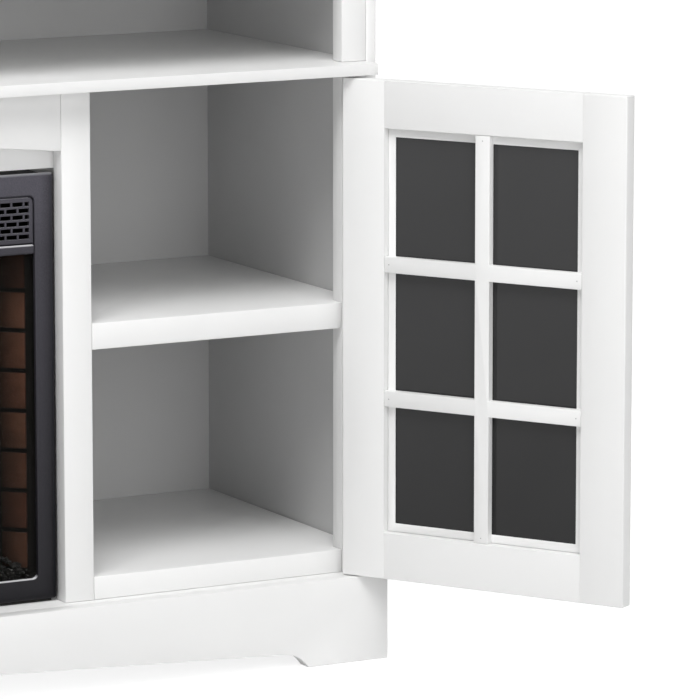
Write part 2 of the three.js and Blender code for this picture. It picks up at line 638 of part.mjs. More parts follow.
// Brick backdrop in running bond, each course ending flush at both sides
const brickFront = FACE + BRICK_DEPTH;
const panelFront = brickFront + BRICK_RELIEF;
const bricks = [wideBoard(
  chamberHalf - SEAT_GAP, panelFront, panelFront + BRICK_PANEL_THICKNESS,
  chamberFloor + SEAT_GAP, barBottom - SEAT_GAP,
)];
const brickHalf = mouthHalf;
const brickBottom = mouthBottom + BRICK_BOTTOM_MARGIN;
const brickCourse = (barBottom - BRICK_TOP_MARGIN - brickBottom) / BRICK_COURSES;
const brickPitch = (brickHalf * 2 + MORTAR) / BRICK_PER_COURSE;
for (let course = 0; course < BRICK_COURSES; course += 1) {
  const courseBottom = brickBottom + course * brickCourse;
  const offset = (course % 2) * brickPitch / 2;
  for (let index = 0; index < BRICK_PER_COURSE + 1; index += 1) {
    const start = -brickHalf + index * brickPitch - offset;
    const left = Math.max(start, -brickHalf);
    const right = Math.min(start + brickPitch - MORTAR, brickHalf);
    if (right > left + MORTAR) {
      bricks.push(board(
        left, right, brickFront, panelFront + BRICK_SINK,
        courseBottom, courseBottom + brickCourse - MORTAR,
      ));
    }
  }
}
addPiece('brick_backdrop', join(bricks), brick);

// Ember bed: a lumpy heap that rises to the middle, with split logs lying in it
const emberFront = windowBack + SEAT_GAP;
const emberBase = chamberFloor + SEAT_GAP;
const emberHalf = chamberHalf - EMBER_SIDE_GAP;
const heap = [[-emberHalf, emberBase], [emberHalf, emberBase]];
for (let step = EMBER_STEPS; step >= 0; step -= 1) {
  const across = step / EMBER_STEPS * 2 - 1;
  const crown = EMBER_CROWN * (1 - across ** EMBER_SHOULDER);
  const lump = EMBER_LUMP * Math.sin(step * step);
  heap.push([across * emberHalf, emberBase + EMBER_EDGE_HEIGHT + crown + lump]);
}
const emberBed = [plank(outline(heap), emberFront, emberFront + EMBER_DEPTH)];
const logPitch = (emberHalf - LOG_MARGIN) * 2 / LOG_COUNT;
for (let index = 0; index < LOG_COUNT; index += 1) {
  const fromMiddle = index - (LOG_COUNT - 1) / 2;
  const log = new THREE.CylinderGeometry(LOG_RADIUS, LOG_RADIUS, LOG_LENGTH, ROUND_SEGMENTS / 2);
  log.rotateZ(Math.PI / 2).rotateY(LOG_TILT * (index % 2 ? 1 : -1));
  emberBed.push(log.translate(
    fromMiddle * logPitch, emberFront + EMBER_DEPTH / 2, emberBase + LOG_LIFT,
  ));
}
addPiece('ember_bed', join(emberBed), ember);

// Flame spindle: a shaft with reflector tabs set at turning angles
const spindle = [axle(SHAFT_RADIUS, -spindleHalf, spindleHalf, 0, 0)];
const tabPitch = (spindleHalf - TAB_MARGIN) * 2 / SPINDLE_TABS;
for (let tab = 0; tab < SPINDLE_TABS; tab += 1) {
  const flag = board(0, TAB_LENGTH, -TAB_REACH, TAB_REACH, -TAB_THICKNESS / 2, TAB_THICKNESS / 2);
  flag.rotateX(tab * Math.PI / SPINDLE_TABS * 2);
  spindle.push(flag.translate((tab - SPINDLE_TABS / 2) * tabPitch, 0, 0));
}
addPiece('flame_spindle', join(spindle).translate(0, spindleY, spindleZ), amber);

function motor(startX, y, z, floor) {
  const body = board(
    startX, startX + MOTOR_LENGTH, y - MOTOR_WIDTH / 2, y + MOTOR_WIDTH / 2,
    floor + SEAT_GAP, z + MOTOR_HEAD,
  );
  return cut(body, [axle(SHAFT_RADIUS + SHAFT_CLEARANCE, startX - 1, startX + MOTOR_BORE_DEPTH, y, z)]);
}
addPiece('spindle_motor', motor(
  spindleHalf - MOTOR_BORE_DEPTH + SEAT_GAP, spindleY, spindleZ, chamberFloor,
), blackened);

// Cross-flow fan in its case behind the grille
const blowerWheelOutline = [];
for (let blade = 0; blade < BLOWER_BLADES * 4; blade += 1) {
  const angle = blade / (BLOWER_BLADES * 4) * Math.PI * 2;
  const radius = blade % 4 < 2 ? BLOWER_RADIUS : BLOWER_RADIUS - BLOWER_BLADE_DEPTH;
  blowerWheelOutline.push([radius * Math.cos(angle), radius * Math.sin(angle)]);
}
const blowerShaftEnd = BLOWER_HALF_LENGTH + SHAFT_END;
addPiece('fan_wheel', join([
  section(outline(blowerWheelOutline), -BLOWER_HALF_LENGTH, BLOWER_HALF_LENGTH),
  axle(SHAFT_RADIUS, -blowerShaftEnd, blowerShaftEnd, 0, 0),
]).translate(0, blowerY, blowerZ), blackened);
const caseReach = BLOWER_CASE_BORE + BLOWER_CASE_WALL;
addPiece('fan_case', cut(
  wideBoard(
    BLOWER_HALF_LENGTH, blowerY - caseReach, blowerY + caseReach,
    fanFloor + SEAT_GAP, blowerZ + caseReach,
  ),
  [
    new THREE.CylinderGeometry(
      BLOWER_CASE_BORE, BLOWER_CASE_BORE, BLOWER_HALF_LENGTH * 2 + 2, ROUND_SEGMENTS * 2,
    ).rotateZ(Math.PI / 2).translate(0, blowerY, blowerZ),
    wideBoard(
      BLOWER_HALF_LENGTH + 1, blowerY - caseReach - 1, blowerY,
      blowerZ - BLOWER_OUTLET / 2, blowerZ + BLOWER_OUTLET / 2,
    ),
  ],
), blackened);
addPiece('fan_motor', motor(BLOWER_HALF_LENGTH + 2, blowerY, blowerZ, fanFloor), blackened);

// Mains inlet gland on the back of the insert
const glandProfile = [
  new THREE.Vector2(0, 0),
  new THREE.Vector2(GLAND_RADIUS, 0),
  new THREE.Vector2(GLAND_RADIUS, GLAND_FLANGE),
  new THREE.Vector2(GLAND_STEM_RADIUS, GLAND_FLANGE),
  new THREE.Vector2(GLAND_STEM_RADIUS, GLAND_LENGTH),
  new THREE.Vector2(GLAND_BORE_RADIUS, GLAND_LENGTH),
  new THREE.Vector2(GLAND_BORE_RADIUS, GLAND_LENGTH - GLAND_BORE_DEPTH),
  new THREE.Vector2(0, GLAND_LENGTH - GLAND_BORE_DEPTH),
];
addPiece('cord_inlet', new THREE.LatheGeometry(glandProfile, ROUND_SEGMENTS)
  .translate(chamberHalf - GLAND_INSET, boxBack + SEAT_GAP, chamberFloor + GLAND_RISE), blackened);

export default stand;
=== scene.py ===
"""White fireplace TV stand with its right-hand door open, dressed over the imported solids."""
import json
import math
import random

import bmesh
import bpy
from mathutils import Matrix, Vector, noise


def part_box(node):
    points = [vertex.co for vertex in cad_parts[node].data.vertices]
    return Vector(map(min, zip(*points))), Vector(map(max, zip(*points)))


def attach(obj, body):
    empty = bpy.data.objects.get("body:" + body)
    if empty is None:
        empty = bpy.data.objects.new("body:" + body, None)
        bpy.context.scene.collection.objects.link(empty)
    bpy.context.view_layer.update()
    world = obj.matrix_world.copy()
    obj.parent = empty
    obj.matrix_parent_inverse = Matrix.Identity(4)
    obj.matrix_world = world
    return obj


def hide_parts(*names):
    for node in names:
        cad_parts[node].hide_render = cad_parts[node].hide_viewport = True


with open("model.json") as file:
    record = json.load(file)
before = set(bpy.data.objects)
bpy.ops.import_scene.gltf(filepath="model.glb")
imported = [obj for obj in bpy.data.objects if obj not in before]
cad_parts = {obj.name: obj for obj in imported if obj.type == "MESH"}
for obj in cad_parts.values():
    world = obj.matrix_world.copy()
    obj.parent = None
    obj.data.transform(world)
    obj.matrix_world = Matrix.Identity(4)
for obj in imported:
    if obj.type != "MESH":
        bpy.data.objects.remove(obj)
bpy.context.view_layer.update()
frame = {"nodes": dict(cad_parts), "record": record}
BODY_OF = {n: b for b, names in frame["record"]["behaviour"]["bodies"].items() for n in names}
SLOT_OF = {s["node"]: s["material_slot"] for s in frame["record"]["subparts"]}


# ---------------------------------------------------------------- materials
# Lengths and heights are in metres, in the frame of the CAD.

# Sockets of a Mix node that mixes colours.
MIX_FACTOR, MIX_A, MIX_B, MIX_RESULT = 0, 6, 7, 2


class Nodes:
    """Small helper that wires one material's node tree."""

    def __init__(self, name):
        self.material = bpy.data.materials.new(name)
        self.material.use_nodes = True
        self.tree = self.material.node_tree
        self.shader = self.tree.nodes["Principled BSDF"]
        self.coords = self.add("ShaderNodeTexCoord").outputs["Object"]

    def add(self, kind, **settings):
        node = self.tree.nodes.new(kind)
        for key, value in settings.items():
            setattr(node, key, value)
        return node

    def link(self, source, target):
        self.tree.links.new(source, target)

    def axes(self, vector):
        """The x, y and z of a vector."""
        node = self.add("ShaderNodeSeparateXYZ")
        self.link(vector, node.inputs[0])
        return node.outputs

    def stretched(self, scale):
        """Object coordinates times a scale for each axis, for a grain that runs one way."""
        node = self.add("ShaderNodeMapping")
        node.inputs["Scale"].default_value = scale
        self.link(self.coords, node.inputs["Vector"])
        return node.outputs["Vector"]

    def noise(self, scale, detail=2.0, rough=0.5, coords=None):
        node = self.add("ShaderNodeTexNoise")
        node.inputs["Scale"].default_value = scale
        node.inputs["Detail"].default_value = detail
        node.inputs["Roughness"].default_value = rough
        self.link(coords or self.coords, node.inputs["Vector"])
        return node.outputs["Fac"]

    def math(self, operation, a, b=0.0):
        node = self.add("ShaderNodeMath", operation=operation)
        for socket, value in zip(node.inputs, (a, b)):
            if isinstance(value, (int, float)):
                socket.default_value = value
            else:
                self.link(value, socket)
        return node.outputs[0]

    def ramp(self, value, start, end, first, last):
        """Rises or falls from first, where the value is start, to last, where it is end."""
        node = self.add("ShaderNodeMapRange")
        self.link(value, node.inputs["Value"])
        for key, number in (
            ("From Min", start), ("From Max", end), ("To Min", first), ("To Max", last),
        ):
            node.inputs[key].default_value = number
        return node.outputs["Result"]

    def spread(self, pattern, first=0.0, last=1.0, start=0.3, end=0.7):
        """A noise, most of which lies between start and end, stretched to first and last."""
        return self.ramp(pattern, start, end, first, last)

    def mix(self, factor, a, b):
        node = self.add("ShaderNodeMix", data_type="RGBA")
        if isinstance(factor, float):
            node.inputs[MIX_FACTOR].default_value = factor
        else:
            self.link(factor, node.inputs[MIX_FACTOR])
        for index, value in ((MIX_A, a), (MIX_B, b)):
            if isinstance(value, tuple):
                node.inputs[index].default_value = (*value, 1.0)
            else:
                self.link(value, node.inputs[index])
        return node.outputs[MIX_RESULT]

    def colour(self, source):
        self.link(source, self.shader.inputs["Base Color"])

    def roughness(self, source):
        self.link(source, self.shader.inputs["Roughness"])

    def sheen(self, scale, smooth, rough, detail=3.0):
        """Roughness that drifts between smooth and rough in patches."""
        self.roughness(self.spread(self.noise(scale, detail), smooth, rough))

    def bump(self, height, strength, distance):
        node = self.add("ShaderNodeBump")
        node.inputs["Strength"].default_value = strength
        node.inputs["Distance"].default_value = distance
        self.link(height, node.inputs["Height"])
        self.link(node.outputs["Normal"], self.shader.inputs["Normal"])

    def set(self, **values):
        for key, value in values.items():
            self.shader.inputs[key.replace("_", " ")].default_value = value
        return self


def shade(colour, factor):
    return tuple(c * factor for c in colour)


def painted_board(name, colour, rough, drift=0.97):
    """Sprayed board: faint roller drift, fine orange peel, and slightly uneven sheen."""
    n = Nodes(name)
    roller_marks, orange_peel = n.noise(5.0, detail=3.0), n.noise(420.0)
    n.colour(n.mix(n.spread(roller_marks), shade(colour, drift), colour))
    n.sheen(30.0, smooth=rough - 0.05, rough=rough + 0.06)
    n.bump(orange_peel, strength=0.05, distance=0.0004)
    return n.set(IOR=1.46).material


# Shared by the two sprayed coats on metal.
GRAIN_SCALE = 900.0
GRAIN_EDGES = {"start": 0.35, "end": 0.65}
GRAIN_BUMP = {"strength": 0.12, "distance": 0.0003}
COAT_SHEEN_SCALE = 60.0


def powder_coat(name, colour, rough, metallic, specular=0.5):
    """Sprayed metal with a fine grain in its colour and surface."""
    n = Nodes(name)
    grain = n.noise(GRAIN_SCALE)
    dark, light = shade(colour, 0.86), shade(colour, 1.1)
    n.colour(n.mix(n.spread(grain, **GRAIN_EDGES), dark, light))
    n.sheen(COAT_SHEEN_SCALE, smooth=rough - 0.06, rough=rough + 0.06)
    n.bump(grain, **GRAIN_BUMP)
    return n.set(Metallic=metallic, Specular_IOR_Level=specular).material


def charcoal_coat():
    """Satin coat on the insert's front, with painted shade towards the floor and sides and painted
    highlights on top arrises.
    """
    dark, light = (0.041, 0.0395, 0.048), (0.0525, 0.050, 0.0605)
    lower_painted_highlight, upper_painted_highlight = (0.74, 0.74, 0.76), (0.34, 0.34, 0.36)
    # Ramps (start, end, first, last) of painted light: painted shade lifting up to the grille and
    # up the grille and falling towards the sides, the step between the lower and upper painted
    # highlights on arrises, and how far a face has to turn up to take the painted highlight.
    rise, grille_painted_lift = (0.10, 0.47, 0.24, 0.95), (0.47, 0.545, 0.0, 0.65)
    side_painted_shade = (0.346, 0.361, 1.0, 0.5)
    highlight_step, highlight_facing_up = (0.479, 0.482, 0.0, 1.0), (0.35, 0.90, 0.0, 1.0)
    n = Nodes("charcoal_coat")
    grain = n.noise(GRAIN_SCALE)
    body = n.mix(n.spread(grain, **GRAIN_EDGES), dark, light)
    x, _, z = n.axes(n.coords)
    # Painted shade: the coat darkens towards the floor and the sides.
    level = n.math("ADD", n.ramp(z, *rise), n.ramp(z, *grille_painted_lift))
    level = n.math("MULTIPLY", level, n.ramp(n.math("ABSOLUTE", x), *side_painted_shade))
    shaded_body = n.add("ShaderNodeVectorMath", operation="SCALE")
    n.link(body, shaded_body.inputs[0])
    n.link(level, shaded_body.inputs["Scale"])
    # Painted highlights on faces that turn up, brighter below the grille than above it.
    arris = n.mix(n.ramp(z, *highlight_step), lower_painted_highlight, upper_painted_highlight)
    normal = n.axes(n.add("ShaderNodeTexCoord").outputs["Normal"])
    n.colour(n.mix(n.ramp(normal[2], *highlight_facing_up), shaded_body.outputs["Vector"], arris))
    n.sheen(COAT_SHEEN_SCALE, smooth=0.30, rough=0.42)
    n.bump(grain, **GRAIN_BUMP)
    return n.set(Metallic=0.15, Specular_IOR_Level=0.15).material


def tinted_glass():
    """Dark grey glass of the doors, with painted light making it a little paler towards its top."""
    dark, light = (0.004, 0.004, 0.004), (0.046, 0.046, 0.047)
    painted_top_light, film_share = (0.15, 0.58, 0.0, 0.7), 0.5
    n = Nodes("tinted_glass")
    film = n.math("MULTIPLY", n.noise(3.0), film_share)
    # The paler top is painted light.
    n.colour(n.mix(n.math("ADD", n.ramp(n.axes(n.coords)[2], *painted_top_light), film), dark, light))
    n.sheen(14.0, smooth=0.05, rough=0.09, detail=4.0)
    return n.set(IOR=1.5, Specular_IOR_Level=0.2).material


def clear_glass():
    """Pane before the fire: hardly more than its reflections."""
    dark, light = (0.02, 0.02, 0.02), (0.03, 0.03, 0.03)
    n = Nodes("clear_glass")
    n.colour(n.mix(n.spread(n.noise(4.0)), dark, light))
    n.sheen(20.0, smooth=0.04, rough=0.08)
    return n.set(IOR=1.5, Specular_IOR_Level=0.16, Alpha=0.045).material


def turned_steel():
    """Bare steel with fine rings round an upright axis."""
    dark, light = (0.5, 0.51, 0.52), (0.66, 0.67, 0.68)
    n = Nodes("turned_steel")
    rings = n.noise(60.0, coords=n.stretched((1.0, 1.0, 60.0)))
    n.colour(n.mix(n.spread(rings), dark, light))
    n.roughness(n.spread(rings, 0.22, 0.38))
    return n.set(Metallic=1.0).material


# Running bond of the brick wall: length and height of a brick with its joint, height of the
# lowest course's foot, and distance from the middle to where the bricks are counted from.
BRICK_PITCH, BRICK_COURSE, BRICK_BOTTOM, BRICK_HALF = 0.10523, 0.0427, 0.1308, 0.3396


def brick_effect():
    """Each brick has its own tone; painted shade spares only the ends and is darkest beside them.
    """
    # The third colour is the painted shade laid over the bricks.
    dark, light, painted_shade = (0.064, 0.025, 0.015), (0.101, 0.046, 0.027), (0.004, 0.003, 0.002)
    mottle_depth = 0.38
    # Share of a brick's colour that shows through the painted shade, as ramps (start, end, first,
    # last).
    on_ends, in_middle = (0.3130, 0.3310, 0.17, 1.0), (0.305, 0.20, 0.17, 0.55)
    towards_top, from_foot = (0.405, 0.435, 1.0, 0.38), (0.26, 0.33, 0.66, 1.0)
    n = Nodes("brick_effect")
    x, _, z = n.axes(n.coords)
    row = n.math("FLOOR", n.math("DIVIDE", n.math("SUBTRACT", z, BRICK_BOTTOM), BRICK_COURSE))
    half_brick = n.math("MULTIPLY", n.math("MODULO", row, 2.0), BRICK_PITCH / 2)
    along = n.math("ADD", n.math("ADD", x, BRICK_HALF), half_brick)
    column = n.math("FLOOR", n.math("DIVIDE", along, BRICK_PITCH))
    cell = n.add("ShaderNodeCombineXYZ")
    n.link(row, cell.inputs[0])
    n.link(column, cell.inputs[1])
    pick = n.add("ShaderNodeTexWhiteNoise", noise_dimensions="3D")
    n.link(cell.outputs[0], pick.inputs["Vector"])
    body = n.mix(pick.outputs["Value"], dark, light)
    mottle = n.spread(n.noise(70.0, detail=5.0, rough=0.65))
    body = n.mix(mottle, n.mix(mottle_depth, body, (0.0, 0.0, 0.0)), body)
    off_middle = n.math("ABSOLUTE", x)
    unshaded_share = n.math("MAXIMUM", n.ramp(off_middle, *on_ends), n.ramp(off_middle, *in_middle))
    unshaded_share = n.math("MULTIPLY", unshaded_share, n.ramp(z, *towards_top))
    unshaded_share = n.math("MULTIPLY", unshaded_share, n.ramp(z, *from_foot))
    # Painted shade over the bricks, by place on the wall.
    n.colour(n.mix(unshaded_share, painted_shade, body))
    n.bump(n.noise(240.0, detail=5.0, rough=0.7), strength=0.5, distance=0.0012)
    return n.set(Roughness=0.88, Specular_IOR_Level=0.06).material


def sooty_mortar():
    """Joints of the brick wall, and the panel behind the bricks."""
    dark, light = (0.004, 0.004, 0.003), (0.007, 0.006, 0.005)
    n = Nodes("sooty_mortar")
    grit = n.noise(300.0, detail=4.0, rough=0.6)
    n.colour(n.mix(n.spread(grit), dark, light))
    n.bump(grit, strength=0.4, distance=0.0008)
    return n.set(Roughness=0.92, Specular_IOR_Level=0.06).material


def char_and_ember():
    """Black char, cracked and rough, with pale specks that are ash and painted glints."""
    dark, light, ash = (0.003, 0.003, 0.0025), (0.011, 0.0105, 0.009), (0.24, 0.24, 0.23)
    n = Nodes("char_and_ember")
    crack = n.noise(55.0, detail=6.0, rough=0.7)
    char = n.mix(n.spread(crack, start=0.35), dark, light)
    # Pale specks: ash, and painted glints.
    ash_and_glint_specks = n.spread(n.noise(480.0, detail=3.0), start=0.62, end=0.69)
    n.colour(n.mix(ash_and_glint_specks, char, ash))
    n.roughness(n.spread(crack, 0.75, 1.0))
    n.bump(n.noise(190.0, detail=6.0, rough=0.75), strength=0.9, distance=0.003)
    return n.set(Specular_IOR_Level=0.12).material


def charred_bark():
    """Brown-black bark with a grain along the log and patches of ash."""
    dark, light, ash = (0.008, 0.006, 0.005), (0.060, 0.040, 0.026), (0.13, 0.12, 0.11)
    n = Nodes("charred_bark")
    along_log = n.stretched((0.25, 1.0, 1.0))
    grain = n.noise(260.0, detail=5.0, rough=0.7, coords=along_log)
    bark = n.mix(n.spread(grain, start=0.38, end=0.62), dark, light)
    patches = n.spread(n.noise(34.0, detail=4.0, rough=0.6), last=0.8, start=0.55, end=0.68)
    n.colour(n.mix(patches, bark, ash))
    n.bump(grain, strength=0.8, distance=0.002)
    return n.set(Roughness=0.92, Specular_IOR_Level=0.12).material


def amber_film():
    """Crumpled reflective film on the flame spindle."""
    dark, light = (0.42, 0.18, 0.03), (0.7, 0.36, 0.08)
    n = Nodes("amber_film")
    n.colour(n.mix(n.spread(n.noise(90.0, detail=3.0)), dark, light))
    n.sheen(160.0, smooth=0.12, rough=0.3, detail=2.0)
    return n.set(Metallic=0.4).material


WHITE = (0.86, 0.86, 0.855)
# A darker copy of WHITE: painted shade for the backs and inner faces of the bays.
SHADED_WHITE = (0.60, 0.60, 0.60)
BLACK = (0.012, 0.012, 0.011)
ZINC_GREY, PAINTED_GREY = (0.42, 0.42, 0.42), (0.48, 0.48, 0.48)
LOOKS = {
    "white_paint": painted_board("white_paint", WHITE, rough=0.42),
    # Back panels in the darker white: painted shade.
    "white_backing": painted_board("white_backing", SHADED_WHITE, rough=0.55, drift=0.95),
    "door_glass": tinted_glass(),
    "pin_steel": turned_steel(),
    "insert_trim": charcoal_coat(),
    "insert_black": powder_coat("black_coat", BLACK, rough=0.55, metallic=0.0, specular=0.22),
    "insert_glass": clear_glass(),
    "brick_effect": brick_effect(),
    "ember_resin": char_and_ember(),
    "reflector": amber_film(),
}
MORTAR = sooty_mortar()
BARK = charred_bark()
# Darker inner faces of sides and partitions: painted shade.
SHADED_INNER_WALL = painted_board("inner_wall_painted_shade", SHADED_WHITE, rough=0.5, drift=0.95)
NAIL_HEAD = powder_coat("zinc_nail", ZINC_GREY, rough=0.35, metallic=0.8)
BRAD_HEAD = powder_coat("painted_brad", PAINTED_GREY, rough=0.45, metallic=0.1)


# ---------------------------------------------------------------- mesh helpers

def new_piece(name, mesh, body, slot_name, material=None):
    """Put a mesh in the scene as a piece that rides on a body."""
    piece = bpy.data.objects.new(name, mesh)
    bpy.context.collection.objects.link(piece)
    if not mesh.materials:
        mesh.materials.append(material or LOOKS[slot_name])
    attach(piece, body)
    return piece


def finish_mesh(name, bm, smooth_angle=None, materials=()):
    """Turn a bmesh into a mesh, shaded smooth where its faces meet below smooth_angle degrees."""
    bmesh.ops.recalc_face_normals(bm, faces=bm.faces)
    mesh = bpy.data.meshes.new(name)
    bm.to_mesh(mesh)
    bm.free()
    if smooth_angle is not None:
        mesh.polygons.foreach_set("use_smooth", [True] * len(mesh.polygons))
        mesh.set_sharp_from_angle(angle=math.radians(smooth_angle))
    for material in materials:
        mesh.materials.append(material)
    return mesh


def skin(bm, loops, material_index=0):
    """Faces between each closed loop of vertices and the next one."""
    for a, b in zip(loops, loops[1:]):
        for i in range(len(a)):
            j = (i + 1) % len(a)
            bm.faces.new((a[i], a[j], b[j], b[i])).material_index = material_index


def welded_copy(node):
    """Copy of a CAD mesh whose facets in one plane are joined."""
    same_place, same_plane = 1e-6, math.radians(1)
    bm = bmesh.new()
    bm.from_mesh(frame["nodes"][node].data)
    bmesh.ops.remove_doubles(bm, verts=bm.verts, dist=same_place)
    bmesh.ops.dissolve_limit(bm, angle_limit=same_plane, verts=bm.verts, edges=bm.edges)
    return bm


# An edge where two faces meet at more than this many degrees is an arris.
ARRIS_ANGLE = 35


def soften(bm, width, segments, wanted=None):
    """Round the sharp edges of a mesh, or only those that wanted() picks."""
    limit = math.radians(ARRIS_ANGLE)
    sharp = [e for e in bm.edges if e.is_manifold and e.calc_face_angle(0) > limit]
    bmesh.ops.bevel(
        bm, geom=[e for e in sharp if wanted is None or wanted(e)], offset=width,
        segments=segments, profile=0.5, affect="EDGES", clamp_overlap=True,
    )


def replace_with(node, bm):
    """Make the bmesh the piece that stands for a CAD node, in the node's own finish."""
    name = node + "_eased"
    piece = new_piece(name, finish_mesh(name, bm, ARRIS_ANGLE), BODY_OF[node], SLOT_OF[node])
    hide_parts(node)
    return piece


def ease(node, width=0.0009, segments=2):
    """Replace a node by a copy with rounded arrises."""
    bm = welded_copy(node)
    soften(bm, width, segments)
    return replace_with(node, bm)


# Cosine above which two directions count as the same.
SAME_WAY = 0.99


def ease_with_shaded_face(node, shaded_side):
    """Ease a side or partition, and give its large face on the given side the darker white of
    painted shade.
    """
    large_area = 0.02
    mesh = ease(node).data
    mesh.materials.append(SHADED_INNER_WALL)
    for face in mesh.polygons:
        if face.normal.dot(shaded_side) > SAME_WAY and face.area > large_area:
            face.material_index = 1


def middle_of(node):
    low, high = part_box(node)
    return (Vector(low) + Vector(high)) / 2


def door_run(side):
    """Level direction from the hinge stile of a door to its free stile."""
    hinge, free = middle_of(f"door_hinge_stile_{side}"), middle_of(f"door_free_stile_{side}")
    return (free - hinge).normalized()


def ease_door_part(part, side, outer=0.0014, joint=0.0003, seat_gap=0.0003):
    """Stile or rail with round outer arrises and a close, hardly visible joint to the next one."""
    shortest, upright_rise = 0.008, 0.1
    node = f"door_{part}_{side}"
    run = door_run(side)
    centre = middle_of(node).dot(run)
    is_rail = part.endswith("rail")
    inward = 1 if part == "hinge_stile" else -1
    bm = welded_copy(node)
    if is_rail:
        for v in bm.verts:
            v.co += run * math.copysign(seat_gap, v.co.dot(run) - centre)

    def at_joint(edge):
        a, b = (v.co for v in edge.verts)
        if is_rail:
            return abs((b - a).normalized().dot(run)) < SAME_WAY
        return abs(b.z - a.z) > upright_rise and ((a + b).dot(run) / 2 - centre) * inward > 0

    soften(bm, outer, 3, lambda edge: edge.calc_length() > shortest and not at_joint(edge))
    # A fresh copy lets the second bevel number its points the same way each run.
    fresh = bm.copy()
    bm.free()
    soften(fresh, joint, 2, lambda edge: edge.calc_length() > shortest and at_joint(edge))
    replace_with(node, fresh)


# ---------------------------------------------------------------- boards and doors

# Each CAD solid takes the look of its slot; the pieces below stand for some of them.
for node, thing in frame["nodes"].items():
    thing.data.materials.clear()
    thing.data.materials.append(LOOKS[SLOT_OF[node]])

SOFT_EDGE = [
    "plinth_apron", "plinth_side_right", "plinth_side_left", "plinth_rear_rail", "plinth_deck",
    "lower_post_right", "lower_post_left", "upper_post_right", "upper_post_left",
    "fireplace_stile_right", "fireplace_stile_left", "cupboard_floor_right", "cupboard_floor_left",
    "cupboard_shelf_right", "cupboard_shelf_left", "arched_header", "header_backing",
    "top_shelf", "upper_divider", "top_board",
]
for node in SOFT_EDGE:
    ease(node)
for side, inward in (("right", -1), ("left", 1)):
    ease_with_shaded_face("side_panel_" + side, Vector((inward, 0, 0)))
    ease_with_shaded_face("bay_partition_" + side, Vector((-inward, 0, 0)))
    for part in ("hinge_stile", "free_stile", "top_rail", "bottom_rail"):
        ease_door_part(part, side)
    for part in ("inner_grid", "outer_grid"):
        ease(f"door_{part}_{side}", width=0.0008)
ease("insert_bar", width=0.0028, segments=6)
ease("insert_grille", width=0.0004)


def add_head(bm, place, foot, crown, height, segments):
    """Flat head of a nail or brad; foot and crown are the radii of its two ends."""
    bmesh.ops.create_cone(
        bm, cap_ends=True, segments=segments, radius1=foot, radius2=crown, depth=height,
        matrix=place,
    )


def lattice_brads(side, inset=0.0055):
    """Small flush pins near the ends of the glazing bars, on the inner face of a door."""
    run = door_run(side)
    facing = Vector((run.y, -run.x, 0)) * (1 if side == "right" else -1)
    points = [v.co for v in frame["nodes"][f"door_inner_grid_{side}"].data.vertices]
    along = [p.dot(run) for p in points]
    heights = [p.z for p in points]
    start, end, bottom, top = min(along), max(along), min(heights), max(heights)
    surface = max(p.dot(facing) for p in points)
    spots = [((start + end) / 2, bottom + inset), ((start + end) / 2, top - inset)]
    for share in (1 / 3, 2 / 3):
        height = bottom + (top - bottom) * share
        spots += [(start + inset, height), (end - inset, height)]
    outward = facing.to_track_quat("Z", "Y").to_matrix().to_4x4()
    bm = bmesh.new()
    for u, z in spots:
        place = Matrix.Translation(run * u + facing * surface + Vector((0, 0, z)))
        add_head(bm, place @ outward, foot=0.0009, crown=0.0006, height=0.0004, segments=12)
    return finish_mesh("lattice_brads_" + side, bm, smooth_angle=30)


for side in ("right", "left"):
    new_piece("lattice_brads_" + side, lattice_brads(side), "door_" + side, "pin_steel", BRAD_HEAD)


# ---------------------------------------------------------------- pressed flange and grille bars

def rounded_loop(bm, half, z0, z1, radius, y, steps=8):
    """Vertices of an upright rectangle with rounded corners, anticlockwise from the lower right."""
    corners = (
        (half - radius, z0 + radius, -90), (half - radius, z1 - radius, 0),
        (radius - half, z1 - radius, 90), (radius - half, z0 + radius, 180),
    )
    loop = []
    for x, z, start in corners:
        for step in range(steps + 1):
            angle = math.radians(start + 90 * step / steps)
            corner = (x + radius * math.cos(angle), y, z + radius * math.sin(angle))
            loop.append(bm.verts.new(corner))
    return loop


def pressed_flange():
    """Sheet-metal surround: its outer edge rolls back to the box, its mouth has a soft lip."""
    low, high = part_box("insert_flange")
    side, top, bottom = 0.0226, 0.023, 0.0233
    corner, mouth_corner, smallest_corner = 0.003, 0.006, 0.0004
    roll_width, roll_depth, roll_steps = 0.006, 0.0036, 8
    lip, lip_steps = 0.0016, 6
    half, front, back = high[0], low[1], high[1]
    bm = bmesh.new()
    loops = [rounded_loop(bm, half, low[2], high[2], corner, back)]
    for step in range(roll_steps + 1):
        turn = math.radians(90 * step / roll_steps)
        inset = roll_width * (1 - math.cos(turn))
        loops.append(rounded_loop(
            bm, half - inset, low[2] + inset, high[2] - inset, max(corner - inset, smallest_corner),
            front + roll_depth * (1 - math.sin(turn)),
        ))
    for step in range(lip_steps + 1):
        turn = math.radians(90 * step / lip_steps)
        outset = lip * (1 - math.sin(turn))
        loops.append(rounded_loop(
            bm, half - side + outset, low[2] + bottom - outset, high[2] - top + outset,
            mouth_corner + outset, front + lip * (1 - math.cos(turn)),
        ))
    loops.append(rounded_loop(bm, half - side, low[2] + bottom, high[2] - top, mouth_corner, back))
    skin(bm, loops + loops[:1])
    return finish_mesh("pressed_flange", bm, ARRIS_ANGLE)


flange = new_piece("pressed_flange", pressed_flange(), "carcass", "insert_trim")
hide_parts("insert_flange")


